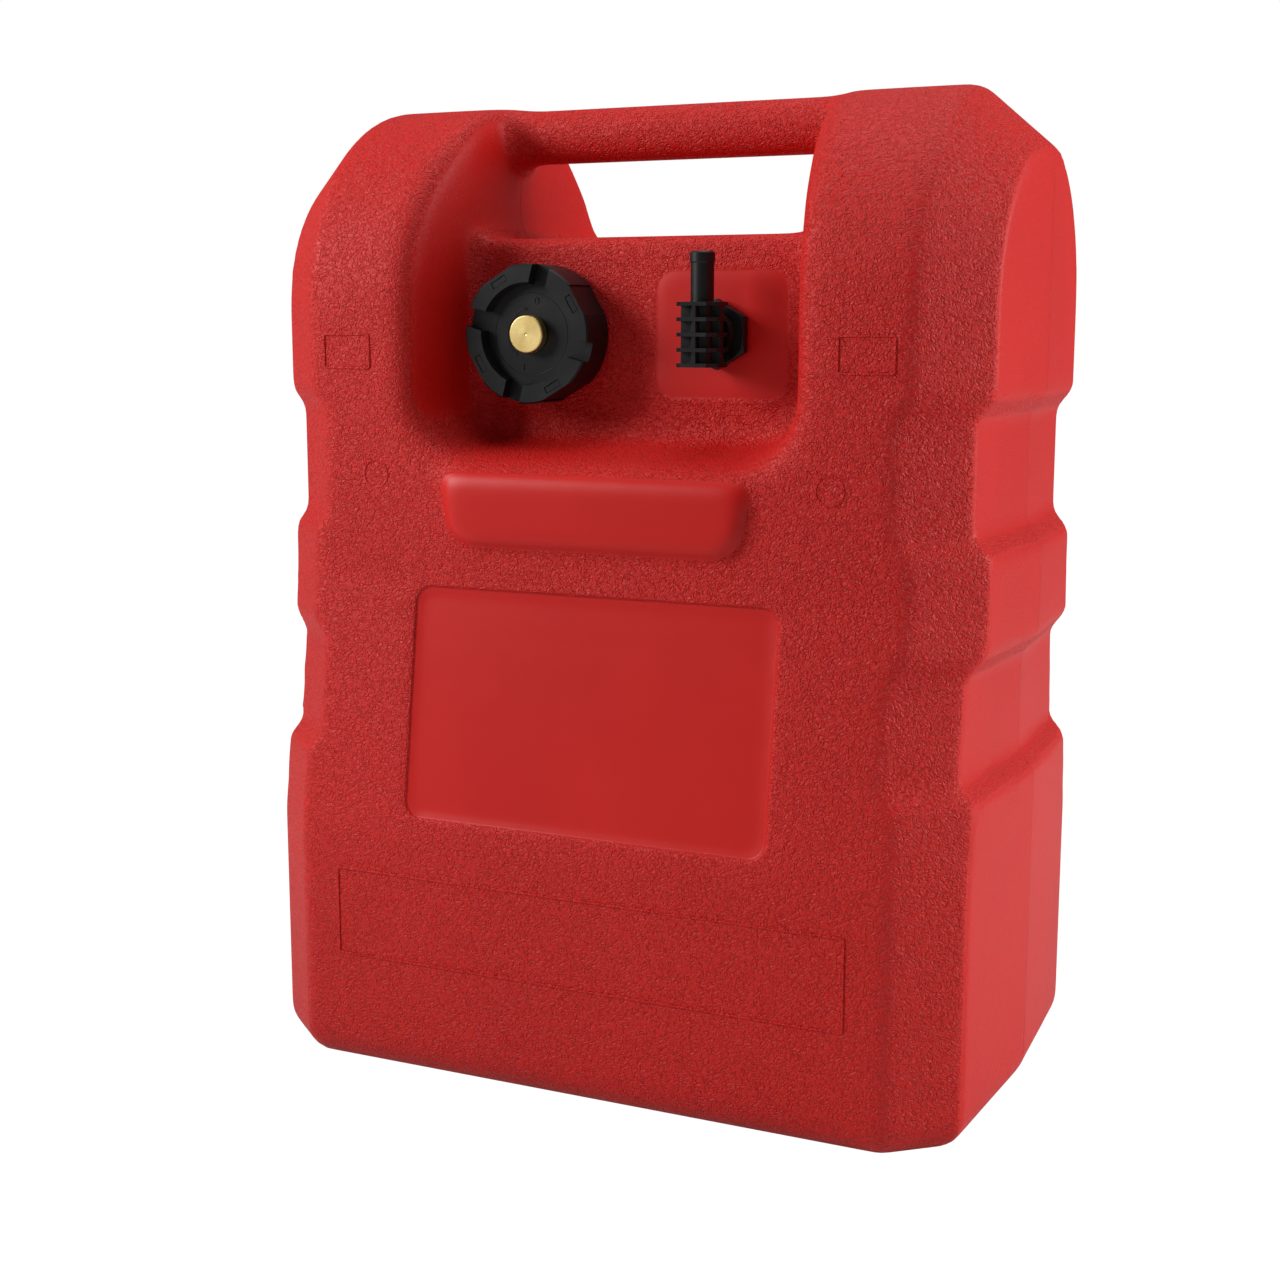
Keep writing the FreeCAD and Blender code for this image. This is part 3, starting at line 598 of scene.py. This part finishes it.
def softened(node: str, width: float, body: Body, material: bpy.types.Material,
             segments: int = 2) -> bpy.types.Object:
    """Stand-in for a CAD node whose hard edges get a small moulded radius.

    Args:
        node: the CAD node.
        width: size of the radius in metres.
        body: the body that it rides on.
        material: its finish.
        segments: steps across the radius.

    Returns:
        The new object.
    """
    piece = merged_copy(node, node + "_moulded")
    activate(piece)
    bpy.ops.object.mode_set(mode="EDIT")
    bpy.ops.mesh.select_all(action="SELECT")
    bpy.ops.mesh.dissolve_limited(angle_limit=FLAT_EDGE)
    bpy.ops.object.mode_set(mode="OBJECT")
    apply_modifier(piece, "BEVEL", width=width, segments=segments, limit_method="ANGLE",
                   angle_limit=BEVEL_EDGE, use_clamp_overlap=True)
    activate(piece)
    bpy.ops.object.shade_smooth_by_angle(angle=SMOOTH_EDGE)
    apply_modifier(piece, "WEIGHTED_NORMAL", keep_sharp=True)
    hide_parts(node)
    return finished(piece, body, material)


def upright_ring(name: str, centre: Triple, radius: float, line: float, steps: int,
                 squeeze: float = 1.0) -> bpy.types.Object:
    """Round raised line in a plane that faces the front.

    Args:
        name: the piece's name.
        centre: middle of the ring.
        radius: radius of the ring.
        line: radius of the line itself.
        steps: steps round the ring.
        squeeze: width of the ring as a share of its height.

    Returns:
        The new object.
    """
    deselect()
    bpy.ops.mesh.primitive_torus_add(major_radius=radius, minor_radius=line, major_segments=steps,
                                     minor_segments=8, rotation=(math.pi / 2, 0, 0))
    piece = bpy.context.object
    piece.name = name
    piece.scale = (squeeze, 1.0, 1.0)
    piece.location = centre
    settle(piece)
    bpy.ops.object.shade_smooth()
    return piece


@dataclass
class TankBody:
    """The moulded tank: its soft skin and the thin frames and rings raised on it."""

    voxel: float = 2.9 * MM
    smoothing: int = 3
    blending: int = 26
    neck: Pair = (-47.5 * MM, 366.5 * MM)
    outlet: Pair = (43.8 * MM, 366.5 * MM)
    neck_plug: float = 24 * MM
    outlet_plug: float = 10.5 * MM
    plug_depth: float = 5 * MM
    plug_inset: float = 4.6 * MM
    wall_y: float = -50.0 * MM
    wall_zone: float = 8 * MM
    blend_half_width: float = 98 * MM
    blend_side_fade: float = 22 * MM
    blend_base: float = 302 * MM
    blend_base_fade: float = 14 * MM
    neck_radius: float = 30 * MM
    pad_half: Pair = (35 * MM, 32 * MM)
    seat_fade: float = 6 * MM
    low_front: float = -118.5 * MM
    high_front: float = -101.0 * MM
    notice_centre: Pair = (0.0, 81.5 * MM)
    notice_half: Pair = (133.5 * MM, 22.5 * MM)
    capacity_x: float = 132.2 * MM
    capacity_z: float = 358.2 * MM
    capacity_half: Pair = (13.4 * MM, 8.6 * MM)
    line_width: float = 1.1 * MM
    line_height: float = 0.7 * MM
    line_corner: float = 1.6 * MM
    line_round: float = 0.3 * MM
    line_sunk: float = 0.25 * MM
    ring_x: float = 116.8 * MM
    ring_z: float = 299.2 * MM
    ring_radius: float = 6.6 * MM
    ring_line: float = 0.45 * MM
    ring_sunk: float = 0.15 * MM
    finish: GrainedRed = field(default_factory=GrainedRed)

    def build(self) -> None:
        """Build and dress every piece of the tank."""
        material = self.finish.material()
        skin = self.skin()
        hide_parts("tank_shell")
        finished(skin, Body.TANK, material)
        for name, centre, half, front in self.frames():
            finished(self.line_frame(name, centre, half, front), Body.TANK, material)
        for side in (-1, 1):
            finished(self.ring(side), Body.TANK, material)

    def plug(self, centre: Pair, radius: float) -> bpy.types.Object:
        """Short cylinder that closes a bore inside the wall, so that the skin is one closed surface.

        Args:
            centre: place of the bore on the wall.
            radius: radius of the cylinder.

        Returns:
            The cylinder.
        """
        deselect()
        middle = (centre[0], self.wall_y + self.plug_inset, centre[1])
        bpy.ops.mesh.primitive_cylinder_add(vertices=48, radius=radius, depth=self.plug_depth,
                                            location=middle, rotation=(math.pi / 2, 0, 0))
        return settle(bpy.context.object)

    def skin(self) -> bpy.types.Object:
        """Outer skin of the tank with every crease drawn soft, as blow moulding leaves it.

        Returns:
            The skin, closed over the bores of the neck and of the outlet.
        """
        skin = merged_copy("tank_shell", "tank_skin")
        plugs = [self.plug(self.neck, self.neck_plug), self.plug(self.outlet, self.outlet_plug)]
        activate(skin)
        for plug in plugs:
            plug.select_set(True)
        bpy.ops.object.join()
        apply_modifier(skin, "REMESH", mode="VOXEL", voxel_size=self.voxel, use_smooth_shade=True)
        self.drop_inside(skin)
        apply_modifier(skin, "SMOOTH", factor=0.5, iterations=self.smoothing)
        group = skin.vertex_groups.new(name="recess")
        for vertex in skin.data.vertices:
            group.add([vertex.index], self.recess_share(vertex.co), "REPLACE")
        apply_modifier(skin, "SMOOTH", factor=0.5, iterations=self.blending, vertex_group="recess")
        activate(skin)
        bpy.ops.object.shade_smooth()
        return skin

    def recess_share(self, place: Vector) -> float:
        """How far a place takes part in the large blends round the recess.

        Args:
            place: a place on the skin.

        Returns:
            1 in the recess, and 0 away from it and on the seats of the cap and of the outlet.
        """
        beside = max(abs(place.x) - self.blend_half_width, 0.0) / self.blend_side_fade
        below = max(self.blend_base - place.z, 0.0) / self.blend_base_fade
        share = max(1.0 - beside - below, 0.0)
        from_neck = math.hypot(place.x - self.neck[0], place.z - self.neck[1]) - self.neck_radius
        from_pad = max(abs(place.x - self.outlet[0]) - self.pad_half[0],
                       abs(place.z - self.outlet[1]) - self.pad_half[1])
        if place.y < self.wall_y + self.wall_zone:
            share = min(share, max(from_neck, 0.0) / self.seat_fade, max(from_pad, 0.0) / self.seat_fade)
        return share

    def drop_inside(self, skin: bpy.types.Object) -> None:
        """Keep the surface that holds the top of the tank and delete the one round the fuel.

        Args:
            skin: the remeshed tank with both surfaces.
        """
        top = max(vertex.co.z for vertex in skin.data.vertices)
        select_vertices(skin, lambda place: place.z > top - 0.5 * MM)
        bpy.ops.mesh.select_linked()
        bpy.ops.mesh.select_all(action="INVERT")
        bpy.ops.mesh.delete(type="VERT")
        bpy.ops.object.mode_set(mode="OBJECT")

    def frames(self) -> list[tuple[str, Pair, Pair, float]]:
        """Places of the raised line frames, which stay empty.

        Returns:
            Name, centre, half size and front of each frame.
        """
        frames = [("notice_frame", self.notice_centre, self.notice_half, self.low_front)]
        for name, side in (("capacity_frame_left", -1), ("capacity_frame_right", 1)):
            centre = (side * self.capacity_x, self.capacity_z)
            frames.append((name, centre, self.capacity_half, self.high_front))
        return frames

    def line_frame(self, name: str, centre: Pair, half: Pair, front: float) -> bpy.types.Object:
        """Thin raised line round a rectangle with small rounded corners.

        Args:
            name: the piece's name.
            centre: middle of the rectangle on the front.
            half: half of its width and of its height.
            front: where the face that it stands on lies.

        Returns:
            The new object.
        """
        deselect()
        bpy.ops.mesh.primitive_plane_add(size=2, location=(0, 0, 0))
        piece = bpy.context.object
        piece.name = name
        piece.scale = (half[0], half[1], 1)
        settle(piece)
        bpy.ops.object.mode_set(mode="EDIT")
        bpy.ops.mesh.select_all(action="SELECT")
        bpy.ops.mesh.bevel(offset=self.line_corner, segments=5, affect="VERTICES")
        bpy.ops.mesh.select_all(action="SELECT")
        bpy.ops.mesh.select_mode(type="FACE")
        bpy.ops.mesh.inset(thickness=self.line_width)
        bpy.ops.mesh.delete(type="FACE")
        bpy.ops.mesh.select_all(action="SELECT")
        bpy.ops.mesh.extrude_region_move(TRANSFORM_OT_translate={"value": (0, 0, self.line_height)})
        bpy.ops.mesh.select_all(action="SELECT")
        bpy.ops.mesh.normals_make_consistent(inside=False)
        bpy.ops.object.mode_set(mode="OBJECT")
        apply_modifier(piece, "BEVEL", width=self.line_round, segments=2, limit_method="ANGLE")
        piece.rotation_euler = (math.pi / 2, 0, 0)
        piece.location = (centre[0], front + self.line_sunk, centre[1])
        settle(piece)
        bpy.ops.object.shade_smooth_by_angle(angle=math.radians(50))
        return piece

    def ring(self, side: int) -> bpy.types.Object:
        """Faint round mark of the mould beside the recess.

        Args:
            side: -1 for the left one and 1 for the right one.

        Returns:
            The new object.
        """
        centre = (side * self.ring_x, self.high_front + self.ring_sunk, self.ring_z)
        name = "mould_ring_left" if side < 0 else "mould_ring_right"
        return upright_ring(name, centre, self.ring_radius, self.ring_line, 48)


@dataclass
class FillerCap:
    """The screw cap with its brass vent screw and the plain marks on its floor."""

    axis: Pair = (-47.5 * MM, 366.5 * MM)
    floor_y: float = -69.0 * MM
    mark_radius: float = 16.2 * MM
    mark_height: float = 0.28 * MM
    closed_turn: float = 11.0
    open_turn: float = 195.0
    circle_radius: float = 19.6 * MM
    circle_line: float = 0.16 * MM
    closed_radius: float = 1.5 * MM
    closed_line: float = 0.32 * MM
    closed_squeeze: float = 0.75
    bar_width: float = 0.6 * MM
    bar_length: float = 3.4 * MM
    arrow_radius: float = 12.6 * MM
    arrow_line: float = 0.28 * MM
    arrow_clear_of_ring: float = 24.0
    arrow_clear_of_bar: float = 26.0
    tip_radius: float = 1.25 * MM

    def build(self) -> None:
        """Build and dress every piece of the cap."""
        black = SatinBlack("black_cap_plastic").material()
        brass = TurnedBrass(self.axis).material()
        rubber = PlainFinish("black_seal_rubber", base=(0.018, 0.018, 0.019, 1.0),
                             roughness=0.62).material()
        softened("cap_cover", 0.45 * MM, Body.CAP, black)
        softened("cap_core", 0.25 * MM, Body.CAP, black)
        softened("vent_screw", 0.3 * MM, Body.VENT, brass, 3)
        dress("vent_bush", brass)
        dress("vent_seat", black)
        for node in ("cap_gasket", "vent_seal", "vent_ring"):
            dress(node, rubber)
        for piece in self.marks():
            finished(piece, Body.CAP, black)

    def place(self, radius: float, turn: float) -> Vector:
        """Point on the floor of the cap at a radius and a clockwise turn from the top."""
        angle = math.radians(turn)
        return Vector((self.axis[0] + radius * math.sin(angle), self.floor_y,
                       self.axis[1] + radius * math.cos(angle)))

    def marks(self) -> list[bpy.types.Object]:
        """The plain marks on the floor of the cap.

        Returns:
            A thin circle, a ring for closed, a bar for open and the arrow between them with its tips.
        """
        after_closed = self.closed_turn - self.arrow_clear_of_ring
        before_open = self.open_turn - 360 + self.arrow_clear_of_bar
        return [
            self.circle("floor_circle", self.circle_radius, self.circle_line),
            self.closed_mark(),
            self.bar(),
            self.arc("turn_arrow", self.arrow_radius, before_open, after_closed),
            self.arrow_head("turn_arrow_tip_a", after_closed, 1),
            self.arrow_head("turn_arrow_tip_b", before_open, -1),
        ]

    def circle(self, name: str, radius: float, line: float) -> bpy.types.Object:
        """Thin raised circle about the axis of the cap."""
        return upright_ring(name, (self.axis[0], self.floor_y, self.axis[1]), radius, line, 96)

    def closed_mark(self) -> bpy.types.Object:
        """Small upright ring that marks the closed end of the turn."""
        centre = self.place(self.mark_radius, self.closed_turn)
        return upright_ring("closed_mark", centre, self.closed_radius, self.closed_line, 32,
                            self.closed_squeeze)

    def bar(self) -> bpy.types.Object:
        """Small upright bar that marks the open end of the turn.

        Returns:
            The new object.
        """
        deselect()
        bpy.ops.mesh.primitive_cube_add(size=1, location=self.place(self.mark_radius, self.open_turn),
                                        scale=(self.bar_width, 2 * self.mark_height, self.bar_length))
        piece = bpy.context.object
        piece.name = "open_mark"
        settle(piece)
        apply_modifier(piece, "BEVEL", width=0.15 * MM, segments=2)
        return piece

    def arc(self, name: str, radius: float, start: float, end: float) -> bpy.types.Object:
        """Raised line along part of a circle.

        Args:
            name: the piece's name.
            radius: radius of the line.
            start: first turn in degrees, clockwise from the top.
            end: last turn in degrees.

        Returns:
            The new object.
        """
        piece = self.circle(name, radius, self.arrow_line)
        middle = math.radians((start + end) / 2)
        toward = Vector((math.sin(middle), 0, math.cos(middle)))
        limit = math.cos(math.radians((end - start) / 2))
        centre = Vector((self.axis[0], self.floor_y, self.axis[1]))
        select_vertices(piece, lambda place: (place - centre).normalized().dot(toward) < limit)
        bpy.ops.mesh.delete(type="VERT")
        bpy.ops.mesh.select_all(action="SELECT")
        bpy.ops.mesh.fill_holes(sides=12)
        bpy.ops.mesh.normals_make_consistent(inside=False)
        bpy.ops.object.mode_set(mode="OBJECT")
        return piece

    def arrow_head(self, name: str, turn: float, way: int) -> bpy.types.Object:
        """Flat three-sided tip on one end of the arrow.

        Args:
            name: the piece's name.
            turn: where the arrow ends, in degrees clockwise from the top.
            way: 1 where the tip points clockwise and -1 where it points back.

        Returns:
            The new object.
        """
        deselect()
        bpy.ops.mesh.primitive_cylinder_add(vertices=3, radius=self.tip_radius, depth=2 * self.mark_height,
                                            rotation=(math.pi / 2, 0, 0))
        piece = bpy.context.object
        piece.name = name
        settle(piece)
        piece.rotation_euler = Euler((0, math.radians(turn + way * 90), 0))
        piece.location = self.place(self.arrow_radius, turn)
        settle(piece)
        apply_modifier(piece, "BEVEL", width=0.12 * MM, segments=2)
        return piece


@dataclass
class FuelOutlet:
    """The hose outlet in its six-sided gland, and the pickup inside the tank."""

    block_width: float = 20.4 * MM
    block_height: float = 29.6 * MM
    rim: float = 0.8 * MM
    fin: float = 2.2 * MM
    fin_round: float = 0.3 * MM

    def build(self) -> None:
        """Dress every piece of the outlet and the pickup."""
        black = SatinBlack("black_outlet_plastic").material()
        rubber = PlainFinish("black_hose_rubber", base=(0.022, 0.022, 0.023, 1.0),
                             roughness=0.55).material()
        steel = PlainFinish("spring_steel", base=(0.55, 0.55, 0.56, 1.0), roughness=0.32,
                            metallic=1.0).material()
        natural = PlainFinish("natural_plastic", base=(0.72, 0.72, 0.68, 1.0), roughness=0.48).material()
        softened("outlet_elbow", 0.35 * MM, Body.OUTLET, black)
        softened("gland_nut", 0.4 * MM, Body.TANK, black)
        for along_x in (True, False):
            finished(self.block_fins(along_x), Body.OUTLET, black)
        dress("pickup_elbow", black)
        dress("gland_washer", rubber)
        dress("stem_rings", rubber)
        dress("pickup_tube", rubber)
        dress("stem_clip", steel)
        dress("tube_clips", steel)
        dress("strainer_cage", natural)
        dress("strainer_mesh", WovenWire().material())

    def block_fins(self, along_x: bool) -> bpy.types.Object:
        """One of the two crossed upright fins between the plates of the block.

        Args:
            along_x: whether the fin runs sideways or from front to back.

        Returns:
            The new object.
        """
        low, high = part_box("outlet_elbow")
        plate = self.block_width / 2
        reach = 2 * (plate - self.rim)
        deselect()
        centre = ((low[0] + high[0]) / 2, low[1] + plate, low[2] + self.block_height / 2)
        bpy.ops.mesh.primitive_cube_add(size=1, location=centre)
        piece = bpy.context.object
        piece.name = "outlet_fin_across" if along_x else "outlet_fin_deep"
        tall = self.block_height - 2 * self.rim
        piece.scale = (reach, self.fin, tall) if along_x else (self.fin, reach, tall)
        settle(piece)
        apply_modifier(piece, "BEVEL", width=self.fin_round, segments=2, limit_method="ANGLE",
                       angle_limit=FIN_EDGE)
        activate(piece)
        bpy.ops.object.shade_smooth_by_angle(angle=SMOOTH_EDGE)
        return piece


def dress(node: str, material: bpy.types.Material) -> None:
    """Give a CAD node that shows as it is its material.

    Args:
        node: the CAD node.
        material: its finish.
    """
    shown = frame["nodes"][node]
    shown.data.materials.clear()
    shown.data.materials.append(material)
    LOG.info("%s dressed", node)


@dataclass
class Studio:
    """Camera at the photograph's view, pale floor and plain soft light."""

    image_size: float = 1280.0
    focal_pixels: float = 1900.0
    sensor: float = 36.0
    azimuth: float = 25.064
    elevation: float = 9.406
    roll: float = 0.046
    distance: float = 0.99186
    target: Vector = field(default_factory=lambda: Vector((-0.02187, 0.0, 0.20863)))
    lamp_aim: float = 0.25
    floor_drop: float = 0.0002
    floor_grey: Rgba = (0.62, 0.62, 0.62, 1.0)
    floor_white: float = 1.05
    floor_white_share: float = 0.98
    floor_mirrored: float = 0.2
    fill_light: float = 0.15

    def build(self) -> None:
        """Place the camera, the floor and the lamps."""
        self.camera()
        self.floor()
        self.world()
        self.lamp("key", (-1.15, -0.85, 0.95), 0.7, 20.5)
        self.lamp("side", (1.55, 0.3, 0.7), 0.8, 20.0)
        self.lamp("top", (0.1, 0.1, 1.6), 1.0, 8.0)
        bpy.context.scene.view_settings.view_transform = "Standard"

    def camera(self) -> None:
        """Camera with the focal length and place fitted to the photograph."""
        turn = math.radians(self.azimuth)
        lift = math.radians(self.elevation)
        back = Vector((math.sin(turn) * math.cos(lift), -math.cos(turn) * math.cos(lift), math.sin(lift)))
        data = bpy.data.cameras.new("photo_camera")
        data.sensor_width = self.sensor
        data.lens = self.focal_pixels / self.image_size * self.sensor
        data.clip_end = 100.0
        camera = bpy.data.objects.new("photo_camera", data)
        bpy.context.scene.collection.objects.link(camera)
        facing = back.to_track_quat("Z", "Y").to_matrix().to_4x4()
        tilt = Matrix.Rotation(math.radians(self.roll), 4, "Z")
        camera.matrix_world = Matrix.Translation(self.target + back * self.distance) @ facing @ tilt
        bpy.context.scene.camera = camera

    def floor(self) -> None:
        """Wide pale floor that shows white to the camera and keeps the shadow."""
        deselect()
        bpy.ops.mesh.primitive_plane_add(size=40, location=(0, 0, -self.floor_drop))
        floor = bpy.context.object
        floor.name = "studio_floor"
        tree = ShaderTree("pale_floor")
        ray = tree.nodes.new("ShaderNodeLightPath")
        mirrored = Sock(tree, ray.outputs["Is Glossy Ray"]) * self.floor_mirrored
        seen = (Sock(tree, ray.outputs["Is Camera Ray"]) + mirrored) * self.floor_white_share
        pale = tree.node("ShaderNodeBsdfDiffuse", None, {"Color": self.floor_grey})
        white = tree.node("ShaderNodeEmission", None, {"Color": (1, 1, 1, 1), "Strength": self.floor_white})
        mixed = tree.node("ShaderNodeMixShader", None, {0: seen, 1: pale, 2: white})
        output = tree.nodes.new("ShaderNodeOutputMaterial")
        tree.links.new(mixed.link, output.inputs["Surface"])
        floor.data.materials.append(tree.material)

    def world(self) -> None:
        """Even soft light, white where the camera looks past the floor."""
        world = bpy.data.worlds.new("studio_world")
        bpy.context.scene.world = world
        world.use_nodes = True
        nodes = world.node_tree.nodes
        links = world.node_tree.links
        nodes.clear()
        ray = nodes.new("ShaderNodeLightPath")
        strength = nodes.new("ShaderNodeMapRange")
        strength.inputs["To Min"].default_value = self.fill_light
        strength.inputs["To Max"].default_value = 1.0
        back = nodes.new("ShaderNodeBackground")
        output = nodes.new("ShaderNodeOutputWorld")
        links.new(ray.outputs["Is Camera Ray"], strength.inputs["Value"])
        links.new(strength.outputs["Result"], back.inputs["Strength"])
        links.new(back.outputs["Background"], output.inputs["Surface"])
        back.inputs["Color"].default_value = (1, 1, 1, 1)

    def lamp(self, name: str, place: Triple, size: float, power: float) -> None:
        """Square soft lamp that faces the tank.

        Args:
            name: the lamp's name.
            place: where it stands.
            size: side of the square.
            power: its power in watts.
        """
        data = bpy.data.lights.new(name, "AREA")
        data.size = size
        data.energy = power
        lamp = bpy.data.objects.new(name, data)
        bpy.context.scene.collection.objects.link(lamp)
        aim = Vector(place) - Vector((0, 0, self.lamp_aim))
        lamp.matrix_world = Matrix.Translation(place) @ aim.to_track_quat("Z", "Y").to_matrix().to_4x4()


def main() -> None:
    """Build the tank, the cap, the outlet and the studio in order."""
    logging.basicConfig(level=logging.INFO)
    TankBody().build()
    FillerCap().build()
    FuelOutlet().build()
    Studio().build()


if __name__ == "__main__":
    main()
